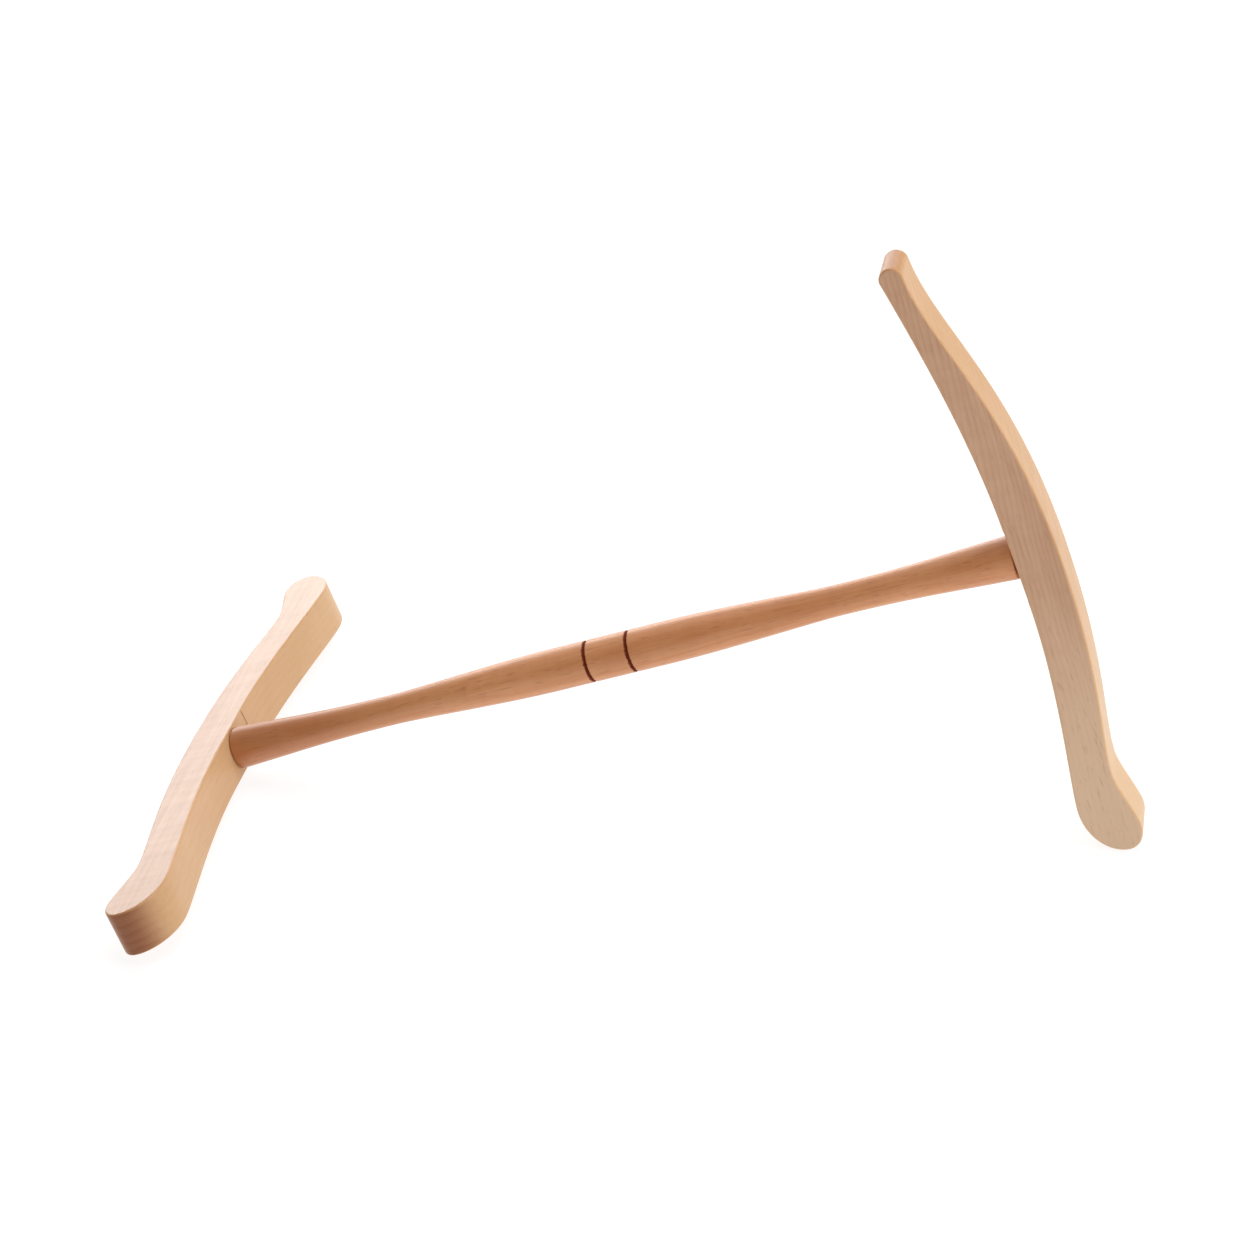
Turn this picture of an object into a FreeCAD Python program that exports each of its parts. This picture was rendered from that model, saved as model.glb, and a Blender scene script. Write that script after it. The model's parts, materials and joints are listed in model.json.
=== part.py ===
"""Niddy-noddy: a hand skein winder in turned and sawn beech.

Three pieces of wood.  A turned shaft carries a profiled arm on each end, and the two arms stand at
right angles to each other.  Round tenons on the shaft turn with light friction in blind bores in the
arms.  The lipped arm holds the yarn at both ends.  The release arm has one plain, tapered end, over
which the finished skein slips off.

Every piece is modelled lying square in its own frame and is then placed as the winder rests on a table:
on the lower lip of the release arm and on the lower outer corner of the lipped arm, so that the shaft
climbs towards +X.  The row frame has its origin on the table, under the middle of the bounding box.
"""
import FreeCAD, Part
import os
import Sketcher
from FreeCAD import Placement, Rotation, Vector

# ---------------------------------------------------------------- driving dimensions, millimetres

DIMENSIONS = [
    # shaft
    ("shaft_length", 331.6, "between the planes that its two shoulders are turned to seat on"),
    ("grip_radius", 8.4, "radius at the middle of the shaft, where it is held"),
    ("grip_half", 24.0, "half of the length that keeps nearly the grip radius"),
    ("neck_radius", 6.0, "smallest radius, in the hollow towards each end"),
    ("neck_from_shoulder", 70.0, "distance of the neck from its shoulder"),
    ("neck_reach", 14.0, "how slowly the hollow leaves the neck, towards the grip"),
    ("grip_reach", 25.0, "how slowly the swell leaves the grip"),
    ("flare_reach", 32.0, "how slowly the hollow leaves the neck, towards the shoulder"),
    ("shoulder_reach", 24.0, "how slowly the flare reaches the shoulder"),
    ("shoulder_fall", 1.0, "radius lost over that reach"),
    ("shoulder_inset", 0.9, "the shoulder's edge, inside the broad faces of the arm"),
    ("shoulder_ease", 0.7, "rounding taken off the shoulder's rim"),
    ("band_half", 8.9, "from the middle of the shaft to each burnt groove"),
    ("groove_half", 0.8, "half of the width of a burnt groove"),
    ("groove_depth", 0.8, "depth of a burnt groove"),
    # round tenons and their bores
    ("tenon_radius", 6.0, "radius of both tenons"),
    ("tenon_chamfer", 0.8, "chamfer on the tenon's end"),
    ("centre_mark", 1.2, "depth and radius of the lathe centre's mark"),
    ("running_clearance", 0.05, "between tenon and bore, on the radius"),
    ("end_clearance", 0.6, "between the tenon's end and the bottom of the bore"),
    ("seat_clearance", 0.12, "between a shoulder and the arm that it seats on"),
    ("release_stand_off", 0.4, "how much further the release arm stands off, not pushed quite home"),
    ("back_wall", 4.0, "wood left behind the blind bore"),
    ("mouth_chamfer", 0.3, "chamfer at the mouth of the bore"),
    # both arms
    ("arm_thickness", 18.9, "between the broad faces"),
    ("arm_depth", 17.2, "from the seat to the outer edge, at the middle"),
    ("seat_half", 15.0, "half of the flat that is cut across the inner edge for the shoulder"),
    ("seat_cut", 0.45, "depth of that flat in the sawn edge"),
    ("arm_ease", 0.9, "rounding along the edges of the broad faces"),
    ("inner_reach", 42.0, "how slowly the inner edge leaves the flat"),
    # a lipped end, measured from the tip inwards and from the seat outwards
    ("lipped_half", 132.4, "from the shaft's axis to each tip of the lipped arm"),
    ("release_half", 130.0, "from the shaft's axis to the lipped tip of the release arm"),
    ("tip_rise", 5.0, "height of the outermost point of the tip"),
    ("lip_back", 9.6, "from the tip to the crest of the lip"),
    ("lip_rise", 12.3, "height of the lip's crest"),
    ("dip_back", 33.5, "from the tip to the bottom of the yarn seat"),
    ("dip_rise", 8.1, "height of the bottom of the yarn seat"),
    ("dip_reach_in", 15.5, "softness of the yarn seat towards the shaft"),
    ("dip_reach_out", 6.2, "softness of the yarn seat towards the lip"),
    ("crest_reach", 5.5, "softness of the lip's inner side"),
    ("bulge_reach", 56.0, "how slowly the outer edge leaves the middle"),
    ("heel_back", 20.0, "from the tip to the lowest point of the heel"),
    ("heel_drop", 9.8, "how far the heel comes back past the seat"),
    ("heel_reach", 11.0, "how slowly the inner edge leaves the heel"),
    # the plain end of the release arm
    ("plain_half", 127.0, "from the shaft's axis to the tip of the plain end"),
    ("plain_radius", 4.6, "radius of the rounded plain tip"),
    ("plain_drop", 7.7, "how far the middle of the plain tip comes back past the seat"),
    ("plain_bulge_reach", 67.0, "how slowly the outer edge leaves the middle"),
    ("plain_outer_reach", 28.0, "how slowly the outer edge meets the tip"),
    ("plain_outer_fall", 1.0, "fall of the outer edge over that reach"),
    ("plain_inner_reach", 20.7, "how slowly the inner edge meets the tip"),
    ("plain_inner_fall", 3.7, "fall of the inner edge over that reach"),
]
SIZE = {name: value for name, value, note in DIMENSIONS}

CIRCLE_HANDLE = 0.5523      # length of a Bezier handle over the radius, for a quarter of an ellipse
LEVEL = 0.01                # an edge within this height lies in one plane
TILT_LIMITS = (2.0, 60.0)   # degrees between which the resting tilt is looked for
TILT_STEPS = 20             # halvings of that range


def write_sheet(doc):
    """Put every driving dimension in the spreadsheet, under its own alias."""
    sheet = doc.addObject("Spreadsheet::Sheet", "dims")
    for row, (name, value, note) in enumerate(DIMENSIONS, start=1):
        sheet.set(f"A{row}", name)
        sheet.set(f"B{row}", str(value))
        sheet.set(f"C{row}", note)
        sheet.setAlias(f"B{row}", name)
    doc.recompute()
    return sheet


# ---------------------------------------------------------------- sketch helpers
#
# A coordinate is a dictionary from a dimension's name to its factor, so that one description gives both
# the number that a point starts at and the expression that keeps it there.

def size(**factors):
    """A coordinate made from named dimensions, such as size(lipped_half=1, dip_back=-1)."""
    return dict(factors)


def plus(first, second):
    """The sum of two coordinates."""
    total = dict(first)
    for name, factor in second.items():
        total[name] = total.get(name, 0.0) + factor
    return total


def negative(coordinate):
    return {name: -factor for name, factor in coordinate.items()}


def number(coordinate):
    return sum(factor * SIZE[name] for name, factor in coordinate.items())


def expression(coordinate):
    return " + ".join(f"({factor:.6g}) * dims.{name}" for name, factor in coordinate.items())


def attach(body, name, plane_role):
    """A new sketch on one of the body's own origin planes."""
    sketch = body.newObject("Sketcher::SketchObject", name)
    plane = next(item for item in body.Origin.OriginFeatures if item.Role == plane_role)
    sketch.AttachmentSupport = [(plane, "")]
    sketch.MapMode = "FlatFace"
    return sketch


def hold_point(sketch, geometry, position, point):
    """Tie a sketch point's two coordinates to the dimensions that they are made from."""
    for kind, axis, coordinate in (("DistanceX", -2, point[0]), ("DistanceY", -1, point[1])):
        if not coordinate:
            sketch.addConstraint(Sketcher.Constraint("PointOnObject", geometry, position, axis))
            continue
        value = number(coordinate)
        index = sketch.addConstraint(Sketcher.Constraint(kind, geometry, position, value))
        sketch.setExpression(f"Constraints[{index}]", expression(coordinate))


def add_outline(sketch, pieces):
    """Add a closed outline of straight runs (two points) and cubic curves (four points)."""
    ends = []
    for points in pieces:
        places = [Vector(number(x), number(y), 0) for x, y in points]
        if len(points) == 2:
            geometry = sketch.addGeometry(Part.LineSegment(*places), False)
            hold_point(sketch, geometry, 1, points[0])
        else:
            curve = Part.BSplineCurve()
            curve.buildFromPolesMultsKnots(places, [4, 4], [0.0, 1.0], False, 3)
            geometry = sketch.addGeometry(curve, False)
            sketch.exposeInternalGeometry(geometry)
            for pole in range(3):
                hold_point(sketch, geometry + 1 + pole, 3, points[pole])
        ends.append(geometry)
    for here, following in zip(ends, ends[1:] + ends[:1]):
        sketch.addConstraint(Sketcher.Constraint("Coincident", here, 2, following, 1))


def run(*points):
    """Straight runs through the given points."""
    return [[start, end] for start, end in zip(points, points[1:])]


# ---------------------------------------------------------------- outlines of the arms
#
# In an arm's own frame X runs along the arm, Y points away from the shaft and Z is its thickness.

def lipped_end(half):
    """Outer edge, yarn seat, lip, tip and heel of a lipped end, from the middle round to the flat.

    half is the name of the dimension that gives how far the tip lies from the shaft's axis.
    """
    def back(name):
        return size(**{half: 1, name: -1})

    tip, rise = size(**{half: 1}), size(tip_rise=1)
    crest, crest_y = back("lip_back"), size(lip_rise=1)
    dip, dip_y = back("dip_back"), size(dip_rise=1)
    heel, heel_y = back("heel_back"), size(heel_drop=-1)
    land, land_y = size(seat_half=1), size(seat_cut=-1)
    k = CIRCLE_HANDLE
    outer = [(size(), size(arm_depth=1)),
             (size(bulge_reach=1), size(arm_depth=1)),
             (plus(dip, size(dip_reach_in=-1)), dip_y),
             (dip, dip_y)]
    seat = [(dip, dip_y),
            (plus(dip, size(dip_reach_out=1)), dip_y),
            (plus(crest, size(crest_reach=-1)), crest_y),
            (crest, crest_y)]
    lip = [(crest, crest_y),
           (plus(crest, size(lip_back=k)), crest_y),
           (tip, plus(rise, size(lip_rise=k, tip_rise=-k))),
           (tip, rise)]
    toe = [(tip, rise),
           (tip, plus(rise, size(heel_drop=-k, tip_rise=-k))),
           (plus(heel, size(heel_back=k)), heel_y),
           (heel, heel_y)]
    inner = [(heel, heel_y),
             (plus(heel, size(heel_reach=-1)), heel_y),
             (plus(land, size(inner_reach=1)), land_y),
             (land, land_y)]
    return [outer, seat, lip, toe, inner]


def plain_end():
    """The tapered end without a lip, from the middle round to the flat."""
    middle = size(plain_half=1, plain_radius=-1)
    tip = size(plain_half=1)
    axis_y = size(plain_drop=-1)
    top_y = plus(axis_y, size(plain_radius=1))
    low_y = plus(axis_y, size(plain_radius=-1))
    land, land_y = size(seat_half=1), size(seat_cut=-1)
    k = CIRCLE_HANDLE
    outer = [(size(), size(arm_depth=1)),
             (size(plain_bulge_reach=1), size(arm_depth=1)),
             (plus(middle, size(plain_outer_reach=-1)), plus(top_y, size(plain_outer_fall=1))),
             (middle, top_y)]
    upper = [(middle, top_y),
             (plus(middle, size(plain_radius=k)), top_y),
             (tip, plus(axis_y, size(plain_radius=k))),
             (tip, axis_y)]
    lower = [(tip, axis_y),
             (tip, plus(axis_y, size(plain_radius=-k))),
             (plus(middle, size(plain_radius=k)), low_y),
             (middle, low_y)]
    inner = [(middle, low_y),
             (plus(middle, size(plain_inner_reach=-1)), plus(low_y, size(plain_inner_fall=1))),
             (plus(land, size(inner_reach=1)), land_y),
             (land, land_y)]
    return [outer, upper, lower, inner]


def other_side(pieces):
    """The same end on the -X side, running from the flat back to the middle."""
    return [[(negative(x), y) for x, y in reversed(points)] for points in reversed(pieces)]


# ---------------------------------------------------------------- the pieces

def make_arm(doc, name, far_end, near_end):
    """A flat arm: the sawn outline padded to its thickness, eased, and cut and bored for the shaft."""
    body = doc.addObject("PartDesign::Body", name)
    body.Label = name

    outline = attach(body, f"{name}_outline", "XY_Plane")
    land = run((size(seat_half=1), size(seat_cut=-1)), (size(seat_half=-1), size(seat_cut=-1)))
    add_outline(outline, far_end + land + other_side(near_end))

    board = body.newObject("PartDesign::Pad", f"{name}_board")
    board.Profile = outline
    board.SideType = "Symmetric"
    board.setExpression("Length", "dims.arm_thickness")
    doc.recompute()

    half = SIZE["arm_thickness"] / 2
    rims = [f"Edge{index}" for index, edge in enumerate(board.Shape.Edges, start=1)
            if edge.BoundBox.ZLength < LEVEL and abs(abs(edge.CenterOfMass.z) - half) < LEVEL]
    eased = body.newObject("PartDesign::Fillet", f"{name}_eased")
    eased.Base = (board, rims)
    eased.setExpression("Radius", "dims.arm_ease")
    doc.recompute()

    flat_profile = attach(body, f"{name}_flat_profile", "XY_Plane")
    left, right = size(seat_half=-1), size(seat_half=1)
    outside = size(seat_cut=-2)
    add_outline(flat_profile, run((left, size()), (left, outside), (right, outside), (right, size()),
                                  (left, size())))
    flat = body.newObject("PartDesign::Pocket", f"{name}_flat")
    flat.Profile = flat_profile
    flat.SideType = "Symmetric"
    flat.setExpression("Length", "dims.arm_thickness")
    doc.recompute()
    if flat.Shape.Volume >= eased.Shape.Volume:
        raise RuntimeError(f"the flat in {name} cuts nothing")

    bore_profile = attach(body, f"{name}_bore_profile", "XY_Plane")
    wall = size(tenon_radius=1, running_clearance=1)
    mouth = plus(wall, size(mouth_chamfer=1))
    bottom = size(arm_depth=1, back_wall=-1)
    corners = [(size(), size()), (mouth, size()), (wall, size(mouth_chamfer=1)), (wall, bottom),
               (size(), bottom), (size(), size())]
    add_outline(bore_profile, run(*corners))
    bore = body.newObject("PartDesign::Groove", f"{name}_bore")
    bore.Profile = bore_profile
    bore.ReferenceAxis = (bore_profile, ["V_Axis"])
    bore.Angle = 360.0
    doc.recompute()
    if bore.Shape.Volume >= flat.Shape.Volume:
        raise RuntimeError(f"the bore in {name} cuts nothing")
    return body


def make_shaft(doc):
    """The turned shaft: half of its outline revolved about X, then mirrored about its middle."""
    body = doc.addObject("PartDesign::Body", "centre_shaft")
    body.Label = "centre_shaft"

    end = size(shaft_length=0.5, seat_clearance=-1)
    neck_x, neck = plus(end, size(neck_from_shoulder=-1)), size(neck_radius=1)
    grip = size(grip_radius=1)
    rim = size(arm_thickness=0.5, shoulder_inset=-1)
    tenon = size(tenon_radius=1)
    tenon_end = plus(size(shaft_length=0.5), size(arm_depth=1, back_wall=-1, end_clearance=-1))

    band = run((size(), size()), (size(), grip), (size(band_half=1, groove_half=-1), grip),
               (size(band_half=1), size(grip_radius=1, groove_depth=-1)),
               (size(band_half=1, groove_half=1), grip),
               (size(grip_half=1), grip))
    swell = [(size(grip_half=1), grip),
             (size(grip_half=1, grip_reach=1), grip),
             (plus(neck_x, size(neck_reach=-1)), neck),
             (neck_x, neck)]
    flare = [(neck_x, neck),
             (plus(neck_x, size(flare_reach=1)), neck),
             (plus(end, size(shoulder_reach=-1, shoulder_ease=-1)),
              plus(rim, size(shoulder_fall=-1))),
             (plus(end, size(shoulder_ease=-1)), rim)]
    ease = [(plus(end, size(shoulder_ease=-1)), rim),
            (plus(end, size(shoulder_ease=CIRCLE_HANDLE - 1)), rim),
            (end, plus(rim, size(shoulder_ease=CIRCLE_HANDLE - 1))),
            (end, plus(rim, size(shoulder_ease=-1)))]
    tenon_run = run((end, plus(rim, size(shoulder_ease=-1))), (end, tenon),
                    (plus(tenon_end, size(tenon_chamfer=-1)), tenon),
                    (tenon_end, size(tenon_radius=1, tenon_chamfer=-1)),
                    (tenon_end, size(centre_mark=1)),
                    (plus(tenon_end, size(centre_mark=-1)), size()),
                    (size(), size()))

    profile = attach(body, "shaft_profile", "XY_Plane")
    add_outline(profile, band + [swell, flare, ease] + tenon_run)
    turned = body.newObject("PartDesign::Revolution", "shaft_turned")
    turned.Profile = profile
    turned.ReferenceAxis = (profile, ["H_Axis"])
    turned.Angle = 360.0
    doc.recompute()

    whole = body.newObject("PartDesign::Mirrored", "shaft_whole")
    whole.Originals = [turned]
    middle = next(item for item in body.Origin.OriginFeatures if item.Role == "YZ_Plane")
    whole.MirrorPlane = (middle, [""])
    body.Tip = whole
    doc.recompute()
    if whole.Shape.Volume <= turned.Shape.Volume:
        raise RuntimeError("the shaft's second half is missing")
    return body


# ---------------------------------------------------------------- assembly

def bench_placements():
    """Where the pieces go with the shaft lying along X and its middle at the origin."""
    half = SIZE["shaft_length"] / 2
    # The lipped arm lies across the shaft, its outer edge facing -X.
    lipped = Placement(Vector(-half, 0, 0), Rotation(Vector(0, 1, 0), Vector(-1, 0, 0), Vector(0, 0, 1)))
    # The release arm stands on edge, its outer edge facing +X and its plain end up.
    seat = Vector(half + SIZE["release_stand_off"], 0, 0)
    release = Placement(seat, Rotation(Vector(0, 0, -1), Vector(1, 0, 0), Vector(0, -1, 0)))
    return {"centre_shaft": Placement(), "lipped_arm": lipped, "release_arm": release}


def lowest(shape, placement):
    placed = shape.copy()
    placed.Placement = placement.multiply(shape.Placement)
    return placed.optimalBoundingBox().ZMin


def tilted(degrees):
    """A turn about Y that lifts the +X end of the shaft."""
    return Placement(Vector(), Rotation(Vector(0, 1, 0), -degrees))


def resting_tilt(bodies, bench):
    """The tilt at which both arms touch the table."""
    low, high = TILT_LIMITS
    for step in range(TILT_STEPS):
        middle = (low + high) / 2
        turn = tilted(middle)
        lipped = lowest(bodies["lipped_arm"].Shape, turn.multiply(bench["lipped_arm"]))
        release = lowest(bodies["release_arm"].Shape, turn.multiply(bench["release_arm"]))
        if release < lipped:
            low = middle
        else:
            high = middle
    return (low + high) / 2


def place(doc, bodies):
    """Stand the winder on the table, with the origin under the middle of its bounding box."""
    bench = bench_placements()
    tilt = resting_tilt(bodies, bench)
    turn = tilted(tilt)
    whole = FreeCAD.BoundBox()
    for name, body in bodies.items():
        placed = body.Shape.copy()
        placed.Placement = turn.multiply(bench[name])
        whole.add(placed.optimalBoundingBox())
    shift = Placement(Vector(-whole.Center.x, -whole.Center.y, -whole.ZMin), Rotation())
    for name, body in bodies.items():
        body.Placement = shift.multiply(turn).multiply(bench[name])
    doc.recompute()
    print(f"tilt {tilt:.4f} degrees, shaft middle at {shift.Base.x:.4f}, {shift.Base.z:.4f}")
    print(f"box {whole.XLength:.2f} x {whole.YLength:.2f} x {whole.ZLength:.2f}")


def check_document(doc, bodies):
    """Stop before anything is written if an object failed or a piece isn't one valid solid."""
    for item in doc.Objects:
        if "Invalid" in item.State or "Error" in item.State:
            raise RuntimeError(f"{item.Name} failed: {item.State}")
    for name, body in bodies.items():
        shape = body.Shape
        if shape.isNull() or not shape.isValid() or len(shape.Solids) != 1:
            raise RuntimeError(f"{name} is not one valid solid")


def main():
    doc = FreeCAD.newDocument("niddy_noddy")
    write_sheet(doc)
    bodies = {
        "centre_shaft": make_shaft(doc),
        "lipped_arm": make_arm(doc, "lipped_arm", lipped_end("lipped_half"), lipped_end("lipped_half")),
        "release_arm": make_arm(doc, "release_arm", lipped_end("release_half"), plain_end()),
    }
    place(doc, bodies)
    check_document(doc, bodies)
    os.makedirs("parts", exist_ok=True)
    for name, body in bodies.items():
        body.Shape.exportStep(f"parts/{name}.step")
        print(f"{name}: {body.Shape.Volume / 1000:.2f} cm3")


main()
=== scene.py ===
import json
import math

import bmesh
import bpy
from bpy.props import FloatProperty, FloatVectorProperty, IntProperty, PointerProperty
from mathutils import Matrix, Vector


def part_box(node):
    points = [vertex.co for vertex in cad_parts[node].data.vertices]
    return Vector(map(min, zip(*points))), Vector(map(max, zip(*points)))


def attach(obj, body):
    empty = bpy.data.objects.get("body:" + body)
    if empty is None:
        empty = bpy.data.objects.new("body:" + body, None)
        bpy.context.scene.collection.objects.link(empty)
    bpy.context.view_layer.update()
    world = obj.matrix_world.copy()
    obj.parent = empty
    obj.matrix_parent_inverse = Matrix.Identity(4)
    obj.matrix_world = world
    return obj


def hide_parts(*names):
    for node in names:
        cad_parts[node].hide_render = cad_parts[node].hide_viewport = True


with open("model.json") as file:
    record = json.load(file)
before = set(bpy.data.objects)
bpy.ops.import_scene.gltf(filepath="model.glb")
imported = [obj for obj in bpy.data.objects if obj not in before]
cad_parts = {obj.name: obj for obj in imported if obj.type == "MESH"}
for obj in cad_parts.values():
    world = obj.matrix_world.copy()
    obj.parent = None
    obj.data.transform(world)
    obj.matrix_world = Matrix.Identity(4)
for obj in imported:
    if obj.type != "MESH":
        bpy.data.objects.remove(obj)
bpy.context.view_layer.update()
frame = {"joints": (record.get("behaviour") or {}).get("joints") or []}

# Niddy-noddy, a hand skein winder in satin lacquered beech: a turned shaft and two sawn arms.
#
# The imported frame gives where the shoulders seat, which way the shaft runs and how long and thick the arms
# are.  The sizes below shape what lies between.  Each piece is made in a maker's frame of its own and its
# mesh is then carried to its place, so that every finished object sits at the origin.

bl_info = {
    "name": "Niddy-noddy",
    "version": (1, 0, 0),
    "blender": (4, 5, 0),
    "location": "View3D > Sidebar > Niddy-noddy",
    "description": "Builds a hand skein winder in beech around its packed frame",
    "category": "Add Mesh",
}

MM = 0.001
SHARP_ANGLE = math.radians(32)      # edges that turn by more than this stay crisp
EASE_STEPS = 6                      # facets round an eased edge
GROOVE_STEPS = 12                   # points across a burnt groove
GROOVE_FULLNESS = 0.8               # 1 gives a groove a plain cosine section, and less a fuller one
BIT_FACETS = 96                     # facets round a bore
FLOOR_HALF = 12.0                   # half of the floor's width, in metres

# ---------------------------------------------------------------- places taken from the frame


def basis(origin, x, y, z):
    """The matrix that carries a maker's frame with these axes to its place."""
    turn = Matrix((x, y, z)).transposed().to_4x4()
    return Matrix.Translation(origin) @ turn


JOINTS = {joint["name"]: joint for joint in frame["joints"]}
LIPPED_SEAT = Vector(JOINTS["lipped_arm_twist"]["pos_m"])
RELEASE_SEAT = Vector(JOINTS["release_arm_twist"]["pos_m"])
SHAFT_LOW, SHAFT_HIGH = (Vector(corner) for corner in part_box("centre_shaft"))
SHAFT_MIDDLE = (SHAFT_LOW + SHAFT_HIGH) / 2
SHAFT_HALF = (LIPPED_SEAT - SHAFT_MIDDLE).length
ALONG = (RELEASE_SEAT - LIPPED_SEAT).normalized()
ACROSS = Vector((0, 1, 0))
UPRIGHT = ALONG.cross(ACROSS)

LIPPED_LOW, LIPPED_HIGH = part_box("lipped_arm")
RELEASE_LOW, RELEASE_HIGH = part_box("release_arm")
ARM_HALF = (LIPPED_HIGH[1] - LIPPED_LOW[1]) / 2
BOARD_THICKNESS = RELEASE_HIGH[1] - RELEASE_LOW[1]

# Shaft: X along it.  Arms: X along the arm, Y away from the shaft, Z through the board's thickness.
SHAFT_FRAME = basis(SHAFT_MIDDLE, ALONG, ACROSS, UPRIGHT)
LIPPED_FRAME = basis(LIPPED_SEAT, ACROSS, -ALONG, UPRIGHT)
RELEASE_FRAME = basis(RELEASE_SEAT, -UPRIGHT, ALONG, -ACROSS)


# ---------------------------------------------------------------- sizes and colours

def length(name, description, default):
    """A size in metres."""
    return FloatProperty(name=name, description=description, default=default, unit="LENGTH",
                         subtype="DISTANCE", precision=5)


def linear(hex_colour):
    """The linear values of an sRGB colour written as #rrggbb."""
    parts = [int(hex_colour[start:start + 2], 16) / 255 for start in (1, 3, 5)]
    return tuple(c / 12.92 if c <= 0.04045 else ((c + 0.055) / 1.055) ** 2.4 for c in parts)


def colour(name, description, hex_colour):
    return FloatVectorProperty(name=name, description=description, default=linear(hex_colour),
                               subtype="COLOR", size=3, min=0.0, max=1.0)


class ShaftSizes(bpy.types.PropertyGroup):
    grip_radius: length("Grip radius", "Radius at the middle of the shaft", 8.4 * MM)
    grip_half: length("Grip half", "Half of the stretch that keeps the grip radius", 24 * MM)
    grip_reach: length("Grip reach", "How slowly the swell leaves the grip", 25 * MM)
    neck_radius: length("Neck radius", "Smallest radius, in the hollow towards each end", 6.0 * MM)
    neck_back: length("Neck back", "Distance of the neck from its shoulder", 70 * MM)
    neck_reach: length("Neck reach", "How slowly the hollow leaves the neck towards the grip", 14 * MM)
    flare_reach: length("Flare reach", "How slowly the hollow leaves the neck towards the shoulder", 32 * MM)
    shoulder_radius: length("Shoulder radius", "Radius of the shoulder that seats on the arm", 8.55 * MM)
    shoulder_reach: length("Shoulder reach", "How slowly the flare reaches the shoulder", 24 * MM)
    shoulder_fall: length("Shoulder fall", "Radius lost over that reach", 1.0 * MM)
    shoulder_ease: length("Shoulder ease", "Rounding of the shoulder's rim", 0.7 * MM)
    seat_gap: length("Seat gap", "Gap between the shoulder and the arm", 0.12 * MM)
    band_half: length("Band half", "From the shaft's middle to each burnt groove", 8.9 * MM)
    band_shift: length("Band shift", "How far the pair of grooves sits towards the release arm", 0.55 * MM)
    groove_half: length("Groove half", "Half of a burnt groove's width", 0.8 * MM)
    groove_depth: length("Groove depth", "Depth of a burnt groove", 0.8 * MM)
    wedge_low: length("Wedge low", "How much more the release shoulder stands off at the bottom", 0.8 * MM)
    wedge_high: length("Wedge high", "How much less it stands off at the top", 0.3 * MM)
    wedge_reach: length("Wedge reach", "How far along the flare that is spread", 6 * MM)
    tenon_radius: length("Tenon radius", "Radius of the round tenons", 6.0 * MM)
    tenon_reach: length("Tenon reach", "How far a tenon goes past the shoulder's seat", 12.6 * MM)
    tenon_chamfer: length("Tenon chamfer", "Chamfer on a tenon's end", 0.8 * MM)
    centre_mark: length("Centre mark", "Depth of the lathe centre's mark in a tenon's end", 1.2 * MM)
    facets: IntProperty(name="Facets", description="Faces around the shaft", default=128, min=16)


class ArmSizes(bpy.types.PropertyGroup):
    thickness: length("Thickness", "Between the broad faces", BOARD_THICKNESS)
    depth: length("Depth", "From the seat to the outer edge, at the middle", 17.2 * MM)
    seat_half: length("Seat half", "Half of the flat cut across the inner edge for the shoulder", 15 * MM)
    seat_cut: length("Seat cut", "Depth of that flat in the sawn edge", 0.25 * MM)
    ease: length("Ease", "Rounding along the edges of the broad faces", 0.9 * MM)
    inner_reach: length("Inner reach", "How slowly the inner edge leaves the flat", 42 * MM)
    bulge_reach: length("Bulge reach", "How slowly the outer edge leaves the middle", 56 * MM)
    lipped_half: length("Lipped half", "From the shaft's axis to each tip of the lipped arm", ARM_HALF)
    release_half: length("Release half", "From the shaft's axis to the release arm's lipped tip", 130 * MM)
    tip_rise: length("Tip rise", "Height of the outermost point of a lipped tip", 5 * MM)
    lip_back: length("Lip back", "From the tip to the crest of the lip", 9.6 * MM)
    lip_rise: length("Lip rise", "Height of the lip's crest", 12.3 * MM)
    crest_reach: length("Crest reach", "Softness of the lip's inner side", 5.5 * MM)
    dip_back: length("Dip back", "From the tip to the bottom of the yarn seat", 33.5 * MM)
    dip_rise: length("Dip rise", "Height of the bottom of the yarn seat", 8.1 * MM)
    dip_reach_in: length("Dip reach in", "Softness of the yarn seat towards the shaft", 15.5 * MM)
    dip_reach_out: length("Dip reach out", "Softness of the yarn seat towards the lip", 6.2 * MM)
    heel_back: length("Heel back", "From the tip to the lowest point of the heel", 20 * MM)
    heel_drop: length("Heel drop", "How far the heel comes back past the seat", 9.8 * MM)
    heel_reach: length("Heel reach", "How slowly the inner edge leaves the heel", 11 * MM)
    plain_half: length("Plain half", "From the shaft's axis to the plain tip", 127 * MM)
    plain_radius: length("Plain radius", "Radius of the rounded plain tip", 4.6 * MM)
    plain_drop: length("Plain drop", "How far the plain tip comes back past the seat", 7.7 * MM)
    plain_bulge_reach: length("Plain bulge reach", "Bulge reach on the plain side", 67 * MM)
    plain_outer_reach: length("Plain outer reach", "How slowly the outer edge meets the tip", 28 * MM)
    plain_outer_fall: length("Plain outer fall", "Fall of the outer edge over that reach", 1.0 * MM)
    plain_inner_reach: length("Plain inner reach", "How slowly the inner edge meets the tip", 20.7 * MM)
    plain_inner_fall: length("Plain inner fall", "Fall of the inner edge over that reach", 3.7 * MM)
    bore_radius: length("Bore radius", "Radius of the blind bore for the tenon", 6.05 * MM)
    bore_depth: length("Bore depth", "Depth of the blind bore", 13.2 * MM)
    mouth_chamfer: length("Mouth chamfer", "Chamfer at the mouth of the bore", 0.3 * MM)


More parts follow.
